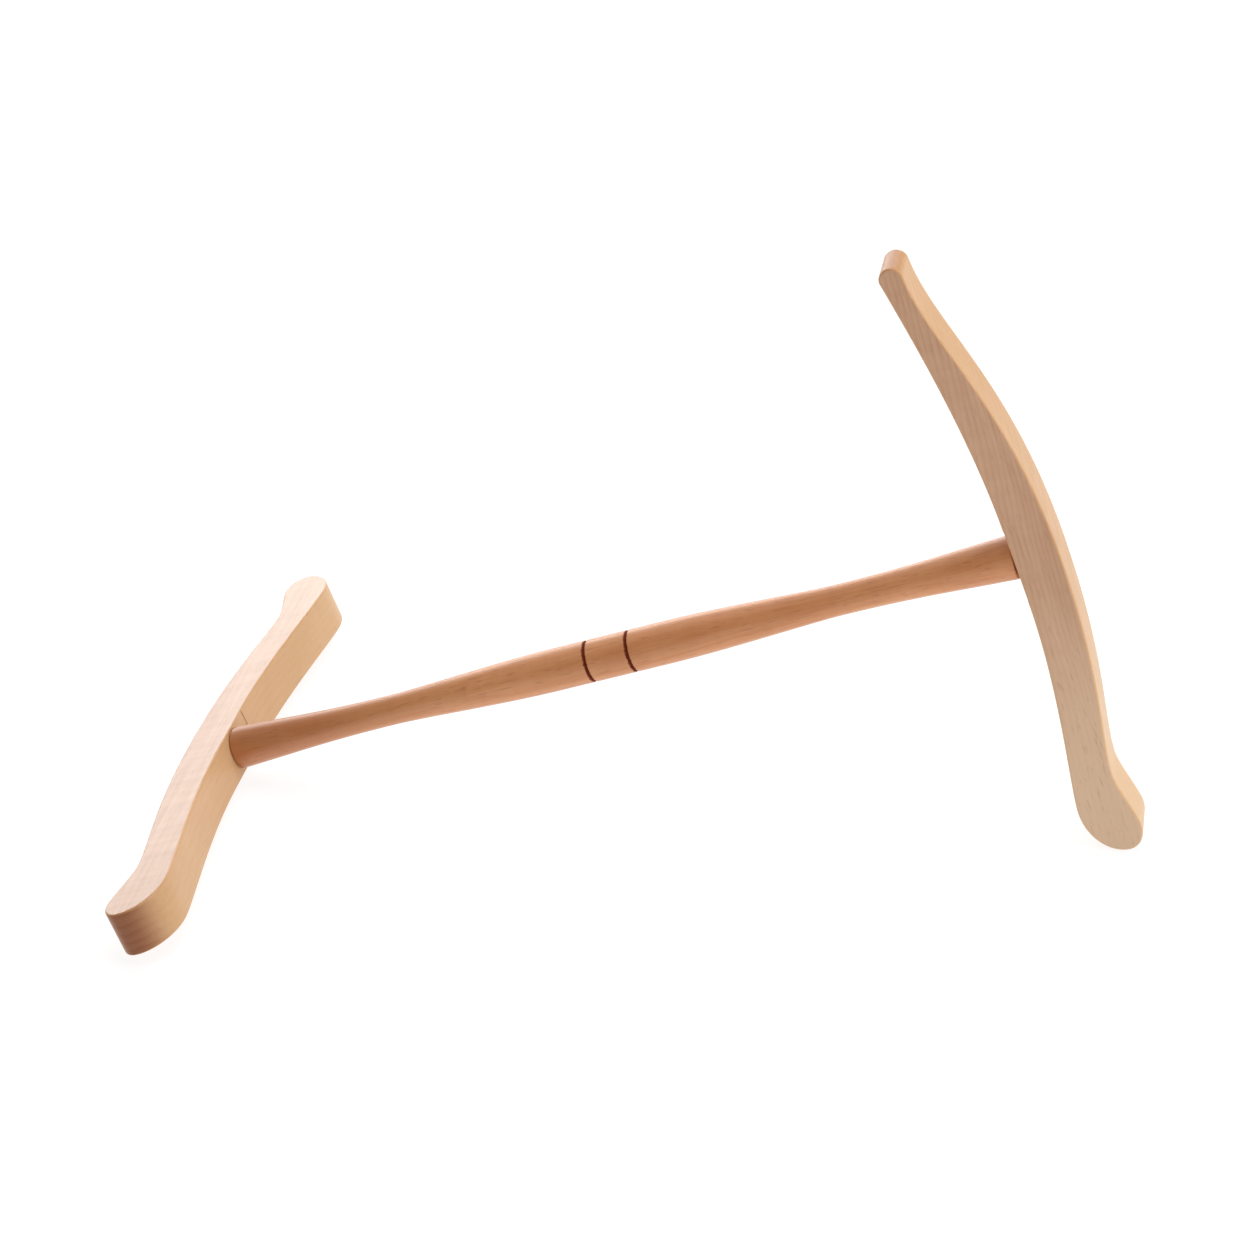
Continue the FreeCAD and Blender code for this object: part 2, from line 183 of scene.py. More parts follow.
class BeechColours(bpy.types.PropertyGroup):
    arm_pale: colour("Arm pale", "Early wood of the arms", "#D5A783")
    arm_dark: colour("Arm dark", "Late wood of the arms", "#BE8A62")
    arm_fleck: colour("Arm fleck", "Ray flecks of the arms", "#A8734C")
    arm_end: colour("Arm end", "End grain of the arms, which drinks the lacquer", "#8E5233")
    # plain_end: end grain of the release arm, painted lighter than arm_end as a painted highlight where the
    # plain tip faces the light overhead
    plain_end: colour("Plain end", "End grain of the release arm, cut from a paler board", "#B87F52")
    shaft_pale: colour("Shaft pale", "Early wood of the shaft", "#E09D69")
    shaft_dark: colour("Shaft dark", "Late wood of the shaft", "#CA814D")
    shaft_fleck: colour("Shaft fleck", "Ray flecks of the shaft", "#96552F")
    # sapwood: on the arms it also stands partly for painted light, paler where the lipped arm's top face
    # takes the sheen and where the floor lights the release arm's lower end
    sapwood: colour("Sapwood", "Paler wood from the outside of the tree", "#E8C6A2")
    sawn: colour("Sawn", "Sawn edges, which the lacquer soaks into", "#D6AF7E")
    # arris: a painted highlight, the warm bright line where the eased edges catch the light
    heartwood: colour("Heartwood", "Darker wood from nearer the middle of the tree", "#9C5629")
    arris: colour("Arris", "Lacquer gathered along the eased edges", "#E2A35F")
    scorch: colour("Scorch", "Wood burnt by the wire in the grooves", "#6E2412")


class StudioSettings(bpy.types.PropertyGroup):
    azimuth: FloatProperty(name="Azimuth", description="Camera's turn about the winder; 0 looks along +Y",
                           default=math.radians(11.70), subtype="ANGLE")
    elevation: FloatProperty(name="Elevation", description="Camera's height angle",
                             default=math.radians(29.34), subtype="ANGLE")
    roll: FloatProperty(name="Roll", description="Camera's turn about its own line of sight",
                        default=math.radians(-2.48), subtype="ANGLE")
    distance: length("Distance", "From the camera to the point it looks at", 1.2379)
    lens: FloatProperty(name="Lens", description="Focal length in millimetres", default=91.17)
    aim: FloatVectorProperty(name="Aim", description="Point looked at, from the shaft's middle",
                             default=(4.7 * MM, 6.9 * MM, 10.4 * MM), subtype="XYZ", unit="LENGTH")
    sky: FloatProperty(name="Sky", description="Strength of the even white surround", default=0.2)
    overhead: FloatProperty(name="Overhead", description="Power of the softbox overhead, in watts",
                            default=14.0)
    back: FloatProperty(name="Back", description="Power of the softbox behind the winder, in watts",
                        default=25.0)
    side: FloatProperty(name="Side", description="Power of the softbox at the release arm's side, in watts",
                        default=9.0)
    front: FloatProperty(name="Front", description="Power of the softbox in front on the right, in watts",
                         default=3.5)
    table: FloatProperty(name="Table", description="Light that comes up through the table", default=0.84)
    floor: colour("Floor", "Plain pale floor", "#848484")


GROUPS = {
    "winder_shaft": ShaftSizes,
    "winder_arms": ArmSizes,
    "winder_beech": BeechColours,
    "winder_studio": StudioSettings,
}


# ---------------------------------------------------------------- outlines

def cubic(start, leave, arrive, end, count):
    """Points along a cubic curve with these handles, without the last one."""
    points = []
    for step in range(count):
        t = step / count
        u = 1 - t
        weights = (u ** 3, 3 * u * u * t, 3 * u * t * t, t ** 3)
        points.append(tuple(sum(w * p[axis] for w, p in zip(weights, (start, leave, arrive, end)))
                            for axis in (0, 1)))
    return points


QUARTER = 0.5523         # handle over radius for a quarter of an ellipse


def quarter(start, corner, end, count):
    """A quarter of an ellipse from start to end that turns inside the corner, without its last point."""
    leave = [a + (c - a) * QUARTER for a, c in zip(start, corner)]
    arrive = [b + (c - b) * QUARTER for b, c in zip(end, corner)]
    return cubic(start, leave, arrive, end, count)


def shaft_outline(s, band):
    """Half of the shaft's outline as (x, radius), from the groove to the axis in the tenon's end."""
    end = SHAFT_HALF - s.seat_gap
    neck_x = end - s.neck_back
    rim_x = end - s.shoulder_ease
    tenon_end = SHAFT_HALF + s.tenon_reach
    points = []
    for step in range(GROOVE_STEPS + 1):
        t = 2 * step / GROOVE_STEPS - 1
        cut = s.groove_depth * (0.5 + 0.5 * math.cos(math.pi * t)) ** GROOVE_FULLNESS
        points.append((band + t * s.groove_half, s.grip_radius - cut))
    points += cubic((s.grip_half, s.grip_radius), (s.grip_half + s.grip_reach, s.grip_radius),
                    (neck_x - s.neck_reach, s.neck_radius), (neck_x, s.neck_radius), 40)
    points += cubic((neck_x, s.neck_radius), (neck_x + s.flare_reach, s.neck_radius),
                    (rim_x - s.shoulder_reach, s.shoulder_radius - s.shoulder_fall),
                    (rim_x, s.shoulder_radius), 36)
    points += quarter((rim_x, s.shoulder_radius), (end, s.shoulder_radius),
                      (end, s.shoulder_radius - s.shoulder_ease), 6)
    points += [
        (end, s.shoulder_radius - s.shoulder_ease),
        (end, s.tenon_radius),
        (tenon_end - s.tenon_chamfer, s.tenon_radius),
        (tenon_end, s.tenon_radius - s.tenon_chamfer),
        (tenon_end, s.centre_mark),
        (tenon_end - s.centre_mark, 0.0),
    ]
    return points


def lipped_end(a, half):
    """Outer edge, yarn seat, lip, tip and heel, from the arm's middle round to the flat."""
    crest = (half - a.lip_back, a.lip_rise)
    dip = (half - a.dip_back, a.dip_rise)
    heel = (half - a.heel_back, -a.heel_drop)
    tip = (half, a.tip_rise)
    land = (a.seat_half, -a.seat_cut)
    return (cubic((0.0, a.depth), (a.bulge_reach, a.depth), (dip[0] - a.dip_reach_in, dip[1]), dip, 40)
            + cubic(dip, (dip[0] + a.dip_reach_out, dip[1]), (crest[0] - a.crest_reach, crest[1]), crest, 16)
            + quarter(crest, (tip[0], crest[1]), tip, 18)
            + quarter(tip, (tip[0], heel[1]), heel, 22)
            + cubic(heel, (heel[0] - a.heel_reach, heel[1]), (land[0] + a.inner_reach, land[1]), land, 40)
            + [land])


def plain_end(a):
    """The tapered end without a lip, from the arm's middle round to the flat."""
    middle = a.plain_half - a.plain_radius
    top, axis, low = -a.plain_drop + a.plain_radius, -a.plain_drop, -a.plain_drop - a.plain_radius
    tip = (a.plain_half, axis)
    land = (a.seat_half, -a.seat_cut)
    return (cubic((0.0, a.depth), (a.plain_bulge_reach, a.depth),
                  (middle - a.plain_outer_reach, top + a.plain_outer_fall), (middle, top), 48)
            + quarter((middle, top), (tip[0], top), tip, 14)
            + quarter(tip, (tip[0], low), (middle, low), 14)
            + cubic((middle, low), (middle - a.plain_inner_reach, low + a.plain_inner_fall),
                    (land[0] + a.inner_reach, land[1]), land, 48)
            + [land])


def whole_outline(far_end, near_end):
    """The closed outline of an arm; near_end is drawn on the -X side."""
    return far_end + [(-x, y) for x, y in reversed(near_end[1:])]


# ---------------------------------------------------------------- node trees

def add(tree, kind, links=None, values=None, **settings):
    """Add a node; links maps an input to (node, output), and values sets inputs that aren't linked."""
    made = tree.nodes.new(kind)
    for name, value in settings.items():
        setattr(made, name, value)
    for name, value in (values or {}).items():
        made.inputs[name].default_value = value
    for name, (source, output) in (links or {}).items():
        tree.links.new(source.outputs[output], made.inputs[name])
    return made


def lathe_tree():
    """Turn an outline about X: a grid whose rows are the outline's points, wrapped round and welded."""
    tree = bpy.data.node_groups.new("lathe", "GeometryNodeTree")
    interface = tree.interface
    interface.new_socket("Outline", in_out="INPUT", socket_type="NodeSocketGeometry")
    interface.new_socket("Facets", in_out="INPUT", socket_type="NodeSocketInt")
    weld = interface.new_socket("Weld", in_out="INPUT", socket_type="NodeSocketFloat")
    weld.default_value = 0.001 * MM
    interface.new_socket("Wood", in_out="INPUT", socket_type="NodeSocketMaterial")
    interface.new_socket("Turning", in_out="OUTPUT", socket_type="NodeSocketGeometry")

    source = add(tree, "NodeGroupInput")
    count = add(tree, "GeometryNodeAttributeDomainSize", {"Geometry": (source, "Outline")})
    columns = add(tree, "ShaderNodeMath", {0: (source, "Facets")}, {1: 1.0}, operation="ADD")
    grid = add(tree, "GeometryNodeMeshGrid", {"Vertices X": (count, "Point Count"),
                                              "Vertices Y": (columns, 0)})
    index = add(tree, "GeometryNodeInputIndex")
    share = add(tree, "ShaderNodeMath", {0: (index, "Index"), 1: (columns, 0)}, operation="DIVIDE")
    row = add(tree, "ShaderNodeMath", {0: (share, 0)}, operation="FLOOR")
    column = add(tree, "ShaderNodeMath", {0: (index, "Index"), 1: (columns, 0)}, operation="MODULO")
    place = add(tree, "GeometryNodeInputPosition")
    sample = add(tree, "GeometryNodeSampleIndex", {"Geometry": (source, "Outline"),
                                                   "Value": (place, "Position"), "Index": (row, 0)},
                 data_type="FLOAT_VECTOR", domain="POINT")
    parts = add(tree, "ShaderNodeSeparateXYZ", {0: (sample, "Value")})
    part = add(tree, "ShaderNodeMath", {0: (column, 0), 1: (source, "Facets")}, operation="DIVIDE")
    angle = add(tree, "ShaderNodeMath", {0: (part, 0)}, {1: math.tau}, operation="MULTIPLY")
    cosine = add(tree, "ShaderNodeMath", {0: (angle, 0)}, operation="COSINE")
    sine = add(tree, "ShaderNodeMath", {0: (angle, 0)}, operation="SINE")
    side = add(tree, "ShaderNodeMath", {0: (parts, "Y"), 1: (cosine, 0)}, operation="MULTIPLY")
    rise = add(tree, "ShaderNodeMath", {0: (parts, "Y"), 1: (sine, 0)}, operation="MULTIPLY")
    point = add(tree, "ShaderNodeCombineXYZ", {"X": (parts, "X"), "Y": (side, 0), "Z": (rise, 0)})
    wrapped = add(tree, "GeometryNodeSetPosition", {"Geometry": (grid, "Mesh"), "Position": (point, 0)})
    welded = add(tree, "GeometryNodeMergeByDistance", {"Geometry": (wrapped, 0),
                                                       "Distance": (source, "Weld")})
    real = add(tree, "GeometryNodeRealizeInstances", {"Geometry": (welded, 0)})
    wooden = add(tree, "GeometryNodeSetMaterial", {"Geometry": (real, 0), "Material": (source, "Wood")})
    add(tree, "NodeGroupOutput", {"Turning": (wooden, 0)})
    return tree


def turned(name, outline, facets, material):
    """A closed mesh made by turning an outline of (x, radius) points about X with the lathe tree."""
    drawn = bpy.data.meshes.new(f"{name}_outline")
    edges = [(first, first + 1) for first in range(len(outline) - 1)]
    drawn.from_pydata([(x, radius, 0.0) for x, radius in outline], edges, [])
    holder = bpy.data.objects.new(f"{name}_outline", drawn)
    bpy.context.scene.collection.objects.link(holder)
    tree = lathe_tree()
    lathe = holder.modifiers.new("lathe", "NODES")
    lathe.node_group = tree
    sockets = {item.name: item.identifier for item in tree.interface.items_tree
               if item.in_out == "INPUT"}
    lathe[sockets["Facets"]] = facets
    lathe[sockets["Wood"]] = material
    depsgraph = bpy.context.evaluated_depsgraph_get()
    mesh = bpy.data.meshes.new_from_object(holder.evaluated_get(depsgraph))
    bpy.data.objects.remove(holder)
    bpy.data.meshes.remove(drawn)
    bpy.data.node_groups.remove(tree)
    work = bmesh.new()
    work.from_mesh(mesh)
    bmesh.ops.recalc_face_normals(work, faces=work.faces)
    work.to_mesh(mesh)
    work.free()
    mesh.name = name
    return mesh


def lean_shoulder(mesh, s):
    """Lean the release shoulder, which isn't turned quite square, so that its gap opens downwards."""
    end = SHAFT_HALF - s.seat_gap
    for vert in mesh.vertices:
        x, y, z = vert.co
        radius = math.hypot(y, z)
        near = (x - end + s.wedge_reach) / s.wedge_reach
        off_tenon = radius > s.tenon_radius + s.seat_gap and x < end + s.seat_gap / 2
        if near > 0.0 and (off_tenon or x < end - s.shoulder_ease):
            down = 0.5 - 0.5 * z / radius
            vert.co.x -= min(near, 1.0) * (s.wedge_low * down - s.wedge_high * (1.0 - down))


# ---------------------------------------------------------------- meshes

def shown(name, mesh, place):
    """An object at the origin whose mesh has been carried to its place."""
    mesh.transform(place)
    mesh.shade_smooth()
    mesh.set_sharp_from_angle(angle=SHARP_ANGLE)
    piece = bpy.data.objects.new(name, mesh)
    bpy.context.scene.collection.objects.link(piece)
    return piece


def outward_normals(outline):
    """Unit normals of a closed outline drawn clockwise."""
    normals = []
    for before, after in zip(outline[-1:] + outline[:-1], outline[1:] + outline[:1]):
        dx, dy = after[0] - before[0], after[1] - before[1]
        size = math.hypot(dx, dy)
        normals.append((-dy / size, dx / size))
    return normals


def board_mesh(name, outline, a):
    """A flat board of this outline with eased edges.

    Three values are kept at each face corner: end_grain, how squarely the surface cuts the fibres,
    arris, how near it is to the middle of an eased edge, and sawn, 1 on the sawn edges of the board.
    """
    normals = outward_normals(outline)
    levels = []
    for step in range(EASE_STEPS + 1):
        turn = math.pi / 2 * step / EASE_STEPS
        levels.append((a.ease * (1 - math.sin(turn)), a.thickness / 2 - a.ease * (1 - math.cos(turn)), turn))
    rings = levels + [(inset, -height, turn) for inset, height, turn in reversed(levels)]

    work = bmesh.new()
    end_grain = work.loops.layers.float.new("end_grain")
    arris = work.loops.layers.float.new("arris")
    sawn = work.loops.layers.float.new("sawn")
    rows = [[work.verts.new((x - nx * inset, y - ny * inset, height))
             for (x, y), (nx, ny) in zip(outline, normals)]
            for inset, height, turn in rings]
    size = len(outline)
    for upper, lower, top, bottom in zip(rows, rows[1:], rings, rings[1:]):
        for here in range(size):
            there = (here + 1) % size
            face = work.faces.new((upper[here], upper[there], lower[there], lower[here]))
            corners = ((here, top), (there, top), (there, bottom), (here, bottom))
            for loop, (column, ring) in zip(face.loops, corners):
                loop[end_grain] = abs(normals[column][0]) * math.sin(ring[2])
                loop[arris] = math.sin(2 * ring[2])
                loop[sawn] = math.sin(ring[2])
    work.faces.new(list(reversed(rows[0])))
    work.faces.new(rows[-1])
    bmesh.ops.recalc_face_normals(work, faces=work.faces)
    mesh = bpy.data.meshes.new(name)
    work.to_mesh(mesh)
    work.free()
    return mesh


def block_mesh(name, low, high):
    """A closed block between two corners, which leaves sawn wood where it cuts."""
    mesh = bpy.data.meshes.new(name)
    work = bmesh.new()
    bmesh.ops.create_cube(work, size=1.0)
    for vert in work.verts:
        vert.co = Vector(h if side > 0 else l for side, l, h in zip(vert.co, low, high))
    sawn = work.loops.layers.float.new("sawn")
    for face in work.faces:
        for loop in face.loops:
            loop[sawn] = 1.0
    work.to_mesh(mesh)
    work.free()
    return mesh


def jointed_board(name, outline, a, material):
    """The board, cut flat for the shaft's shoulder and bored for its tenon."""
    board = bpy.data.objects.new(f"{name}_board", board_mesh(name, outline, a))
    board.data.materials.append(material)
    across = a.thickness
    flat = block_mesh(f"{name}_flat", (-a.seat_half, -2 * a.seat_cut, -across), (a.seat_half, 0.0, across))
    mouth = a.bore_radius + a.mouth_chamfer
    outside = 4 * a.mouth_chamfer
    bit = turned(f"{name}_bit", [(-outside, 0.0), (-outside, mouth + outside), (0.0, mouth),
                                 (a.mouth_chamfer, a.bore_radius), (a.bore_depth, a.bore_radius),
                                 (a.bore_depth, 0.0)], BIT_FACETS, material)
    bit.transform(Matrix.Rotation(math.pi / 2, 4, "Z"))
    cutters = [bpy.data.objects.new(mesh.name, mesh) for mesh in (flat, bit)]
    for item in (board, *cutters):
        bpy.context.scene.collection.objects.link(item)
    for cutter in cutters:
        cut = board.modifiers.new(cutter.name, "BOOLEAN")
        cut.operation, cut.object, cut.solver = "DIFFERENCE", cutter, "EXACT"
    bpy.context.view_layer.update()
    depsgraph = bpy.context.evaluated_depsgraph_get()
    mesh = bpy.data.meshes.new_from_object(board.evaluated_get(depsgraph))
    for item in (board, *cutters):
        data = item.data
        bpy.data.objects.remove(item)
        bpy.data.meshes.remove(data)
    mesh.name = name
    return mesh


def flat_faces_shade_flat(piece):
    """Let the large faces set the normals along the eased edges."""
    weighted = piece.modifiers.new("weighted", "WEIGHTED_NORMAL")
    weighted.keep_sharp = True
    weighted.weight = 100


# ---------------------------------------------------------------- beech

def board_cuts(tree, wood, ring, sawn, end, c):
    """How a board's cut surfaces take the lacquer, with a painted highlight along the arrises: the colour,
    and the share of the gloss that is left.
    """
    # end grain, darker because it drinks the lacquer, and with its rings showing a little
    cut = add(tree, "ShaderNodeAttribute", attribute_name="end_grain")
    squarely = add(tree, "ShaderNodeMapRange", {"Value": (cut, "Fac")},
                   {"From Min": 0.25, "From Max": 1.0, "To Min": 0.0, "To Max": 0.95},
                   interpolation_type="SMOOTHSTEP")
    ringed = add(tree, "ShaderNodeMapRange", {"Value": (ring, 0)},
                 {"From Min": 0.0, "From Max": 1.0, "To Min": 0.9, "To Max": 1.0})
    soak = add(tree, "ShaderNodeMath", {0: (squarely, 0), 1: (ringed, 0)}, operation="MULTIPLY")
    soaked = add(tree, "ShaderNodeMix", {"Factor": (soak, 0), 6: (wood, 2)}, data_type="RGBA")
    soaked.inputs[7].default_value = (*end, 1)

    # sawn edges, warmer and duller than the planed faces because some of the lacquer sinks in
    along = add(tree, "ShaderNodeMath", {1: (squarely, 0)}, {0: 1.0}, operation="SUBTRACT")
    drunk = add(tree, "ShaderNodeMath", {0: (sawn, "Fac"), 1: (along, 0)}, operation="MULTIPLY")
    drunk = add(tree, "ShaderNodeMath", {0: (drunk, 0)}, {1: 0.5}, operation="MULTIPLY")
    edged = add(tree, "ShaderNodeMix", {"Factor": (drunk, 0), 6: (soaked, 2)}, data_type="RGBA")
    edged.inputs[7].default_value = (*c.sawn, 1)
    gloss = add(tree, "ShaderNodeMapRange", {"Value": (sawn, "Fac")},
                {"From Min": 0.0, "From Max": 1.0, "To Min": 1.0, "To Max": 0.3})

    # painted highlight along the arrises: a warmer, brighter line where the eased edges catch the light
    arris = add(tree, "ShaderNodeAttribute", attribute_name="arris")
    painted_highlight = add(tree, "ShaderNodeMath", {0: (arris, "Fac")}, {1: 0.25}, operation="MULTIPLY")
    finished = add(tree, "ShaderNodeMix", {"Factor": (painted_highlight, 0), 6: (edged, 2)}, data_type="RGBA")
    finished.inputs[7].default_value = (*c.arris, 1)
    return finished, gloss


def burnt_grooves(tree, wood, dull, where, axes, bands, c):
    """Grooves burnt with a wire, dark red-brown at the bottom and fading where the scorch spreads.

    Gives the colour, the roughness, which the char raises, and the share of the gloss that is left.
    """
    place_in, half, shift = bands
    from_middle = add(tree, "ShaderNodeMath", {0: (axes, "X")}, {1: shift}, operation="SUBTRACT")
    away = add(tree, "ShaderNodeMath", {0: (from_middle, 0)}, operation="ABSOLUTE")
    off = add(tree, "ShaderNodeMath", {0: (away, 0)}, {1: place_in}, operation="SUBTRACT")
    off = add(tree, "ShaderNodeMath", {0: (off, 0)}, operation="ABSOLUTE")
    ragged = add(tree, "ShaderNodeTexNoise", {"Vector": (where, 0)},
                 {"Scale": 0.9, "Detail": 2.0, "Roughness": 0.6})
    ragged = add(tree, "ShaderNodeMapRange", {"Value": (ragged, "Fac")},
                 {"From Min": 0.3, "From Max": 0.7, "To Min": -0.22, "To Max": 0.22})
    off = add(tree, "ShaderNodeMath", {0: (off, 0), 1: (ragged, 0)}, operation="ADD")
    burn = add(tree, "ShaderNodeMapRange", {"Value": (off, 0)},
               {"From Min": half * 0.55, "From Max": half * 1.35, "To Min": 0.96, "To Max": 0.0},
               interpolation_type="SMOOTHSTEP")
    burnt = add(tree, "ShaderNodeMix", {"Factor": (burn, 0), 6: (wood, 2)}, data_type="RGBA")
    burnt.inputs[7].default_value = (*c.scorch, 1)
    char = add(tree, "ShaderNodeMapRange", {"Value": (burn, 0)},
               {"From Min": 0.0, "From Max": 1.0, "To Min": 0.0, "To Max": 0.3})
    rough = add(tree, "ShaderNodeMath", {0: (dull, 0), 1: (char, 0)}, operation="ADD")
    gloss = add(tree, "ShaderNodeMapRange", {"Value": (burn, 0)},
                {"From Min": 0.0, "From Max": 1.0, "To Min": 1.0, "To Max": 0.1})
    return burnt, rough, gloss


def beech(name, place, pale, dark, fleck, c, pith, rings, end=None, curl=0.06, sap=None, bands=None,
          coat=(0.6, 0.3)):
    """Satin lacquered beech, in a piece's own millimetres with X along the grain.

    Beech gives the eye a pinkish tan with little contrast: growth rings a few millimetres apart, fibre
    streaks along the grain, short dark ray flecks, darker end grain and a soft sheen from thin lacquer.
    pith is how far the middle of the tree lies from the piece, across the grain; rings is their pitch,
    how much they show and how steeply they run out; sap is where along the grain the wood begins to run
    out into paler sapwood or darker heartwood, where it has done so, how far it goes and its colour; curl
    is how much the bars across the grain show; coat is the lacquer's weight and roughness.  A board has
    end, the colour of its end grain; the turned shaft has bands instead, which is how far its burnt
    grooves lie from the middle of the pair, half of their width, and where that middle is.
    """
    material = bpy.data.materials.new(name)
    material.use_nodes = True
    tree = material.node_tree
    tree.nodes.clear()

    spot = add(tree, "ShaderNodeTexCoord")
    where = add(tree, "ShaderNodeMapping", {"Vector": (spot, "Object")},
                {"Location": place.to_translation(), "Rotation": place.to_euler(),
                 "Scale": (MM, MM, MM)}, vector_type="TEXTURE")
    axes = add(tree, "ShaderNodeSeparateXYZ", {0: (where, 0)})

    # growth rings: distance from the pith, made wavy by a slow noise that is drawn out along the grain
    slow = add(tree, "ShaderNodeVectorMath", {0: (where, 0)}, {1: (0.008, 0.045, 0.045)},
               operation="MULTIPLY")
    wander = add(tree, "ShaderNodeTexNoise", {"Vector": (slow, 0)},
                 {"Scale": 1.0, "Detail": 2.0, "Roughness": 0.5})
    sway = add(tree, "ShaderNodeMath", {0: (wander, "Fac")}, {1: 9.0}, operation="MULTIPLY")
    radial = add(tree, "ShaderNodeVectorMath", {0: (where, 0)}, {1: pith}, operation="SUBTRACT")
    flat = add(tree, "ShaderNodeVectorMath", {0: (radial, 0)}, {1: (0.0, 1.0, 1.0)}, operation="MULTIPLY")
    distance = add(tree, "ShaderNodeVectorMath", {0: (flat, 0)}, operation="LENGTH")
    age = add(tree, "ShaderNodeMath", {0: (distance, "Value"), 1: (sway, 0)}, operation="ADD")
    run_out = add(tree, "ShaderNodeMath", {0: (axes, "X"), 2: (age, 0)}, {1: rings[2]},
                  operation="MULTIPLY_ADD")
    years = add(tree, "ShaderNodeMath", {0: (run_out, 0)}, {1: rings[0]}, operation="DIVIDE")
    season = add(tree, "ShaderNodeMath", {0: (years, 0)}, operation="FRACT")
    late = add(tree, "ShaderNodeMapRange", {"Value": (season, 0)},
               {"From Min": 0.35, "From Max": 0.92, "To Min": 0.0, "To Max": 1.0},
               interpolation_type="SMOOTHSTEP")
    early = add(tree, "ShaderNodeMapRange", {"Value": (season, 0)},
                {"From Min": 0.93, "From Max": 1.0, "To Min": 1.0, "To Max": 0.0},
                interpolation_type="SMOOTHSTEP")
    ring = add(tree, "ShaderNodeMath", {0: (late, 0), 1: (early, 0)}, operation="MULTIPLY")

    # fibre streaks, a millimetre apart and some centimetres long
    fibre_scale = add(tree, "ShaderNodeVectorMath", {0: (where, 0)}, {1: (0.022, 1.0, 1.0)},
                      operation="MULTIPLY")
    fibre = add(tree, "ShaderNodeTexNoise", {"Vector": (fibre_scale, 0)},
                {"Scale": 0.9, "Detail": 4.0, "Roughness": 0.62})

    # clouds a few centimetres across
    cloud_scale = add(tree, "ShaderNodeVectorMath", {0: (where, 0)}, {1: (0.35, 1.0, 1.0)},
                      operation="MULTIPLY")
    cloud = add(tree, "ShaderNodeTexNoise", {"Vector": (cloud_scale, 0)},
                {"Scale": 0.055, "Detail": 2.0, "Roughness": 0.5})

    # tone from 0, pale, to 1, dark
    from_ring = add(tree, "ShaderNodeMath", {0: (ring, 0)}, {1: rings[1]}, operation="MULTIPLY")
    from_fibre = add(tree, "ShaderNodeMapRange", {"Value": (fibre, "Fac")},
                     {"From Min": 0.3, "From Max": 0.7, "To Min": 0.0, "To Max": 0.42})
    from_cloud = add(tree, "ShaderNodeMapRange", {"Value": (cloud, "Fac")},
                     {"From Min": 0.3, "From Max": 0.7, "To Min": 0.0, "To Max": 0.5})
    tone = add(tree, "ShaderNodeMath", {0: (from_ring, 0), 1: (from_fibre, 0)}, operation="ADD")
    tone = add(tree, "ShaderNodeMath", {0: (tone, 0), 1: (from_cloud, 0)}, operation="ADD")

    # curl: the fibres rise and fall every few millimetres, which shows as faint bars across the grain
    curl_scale = add(tree, "ShaderNodeVectorMath", {0: (where, 0)}, {1: (1.0, 0.12, 0.12)},
                     operation="MULTIPLY")
    bars = add(tree, "ShaderNodeTexNoise", {"Vector": (curl_scale, 0)},
               {"Scale": 0.24, "Detail": 1.5, "Roughness": 0.5})
    from_curl = add(tree, "ShaderNodeMapRange", {"Value": (bars, "Fac")},
                    {"From Min": 0.35, "From Max": 0.65, "To Min": -curl, "To Max": curl})
    sawn = add(tree, "ShaderNodeAttribute", attribute_name="sawn")      # 0 all over a turned piece
    planed = add(tree, "ShaderNodeMath", {1: (sawn, "Fac")}, {0: 1.0}, operation="SUBTRACT")
    tone = add(tree, "ShaderNodeMath", {0: (from_curl, 0), 1: (planed, 0), 2: (tone, 0)},
               operation="MULTIPLY_ADD", use_clamp=True)
    wood = add(tree, "ShaderNodeMix", {"Factor": (tone, 0)}, data_type="RGBA")
    wood.inputs[6].default_value = (*pale, 1)
    wood.inputs[7].default_value = (*dark, 1)
    # on the arms this run to paler wood stands partly for painted light as well as for sapwood
    if sap:
        out = add(tree, "ShaderNodeMapRange", {"Value": (axes, "X")},
                  {"From Min": sap[0], "From Max": sap[1], "To Min": 0.0, "To Max": sap[2]},
                  interpolation_type="SMOOTHSTEP")
        wood = add(tree, "ShaderNodeMix", {"Factor": (out, 0), 6: (wood, 2)}, data_type="RGBA")
        wood.inputs[7].default_value = (*sap[3], 1)

    # ray flecks: thin spindles along the grain, drawn twice as coarse as real ones so that they show
    fleck_scale = add(tree, "ShaderNodeVectorMath", {0: (where, 0)}, {1: (0.16, 1.3, 1.3)},
                      operation="MULTIPLY")
    ray = add(tree, "ShaderNodeTexNoise", {"Vector": (fleck_scale, 0)},
              {"Scale": 1.0, "Detail": 1.0, "Roughness": 0.4})
    spindle = add(tree, "ShaderNodeMapRange", {"Value": (ray, "Fac")},
                  {"From Min": 0.60, "From Max": 0.74, "To Min": 0.0, "To Max": 0.3},
                  interpolation_type="SMOOTHSTEP")
    flecked = add(tree, "ShaderNodeMix", {"Factor": (spindle, 0), 6: (wood, 2)}, data_type="RGBA")
    flecked.inputs[7].default_value = (*fleck, 1)

    dull = add(tree, "ShaderNodeMapRange", {"Value": (fibre, "Fac")},
               {"From Min": 0.3, "From Max": 0.7, "To Min": 0.36, "To Max": 0.46})
    if bands:
        finished, rough, gloss = burnt_grooves(tree, flecked, dull, where, axes, bands, c)
    else:
        finished, gloss = board_cuts(tree, flecked, ring, sawn, end, c)
        rough = dull

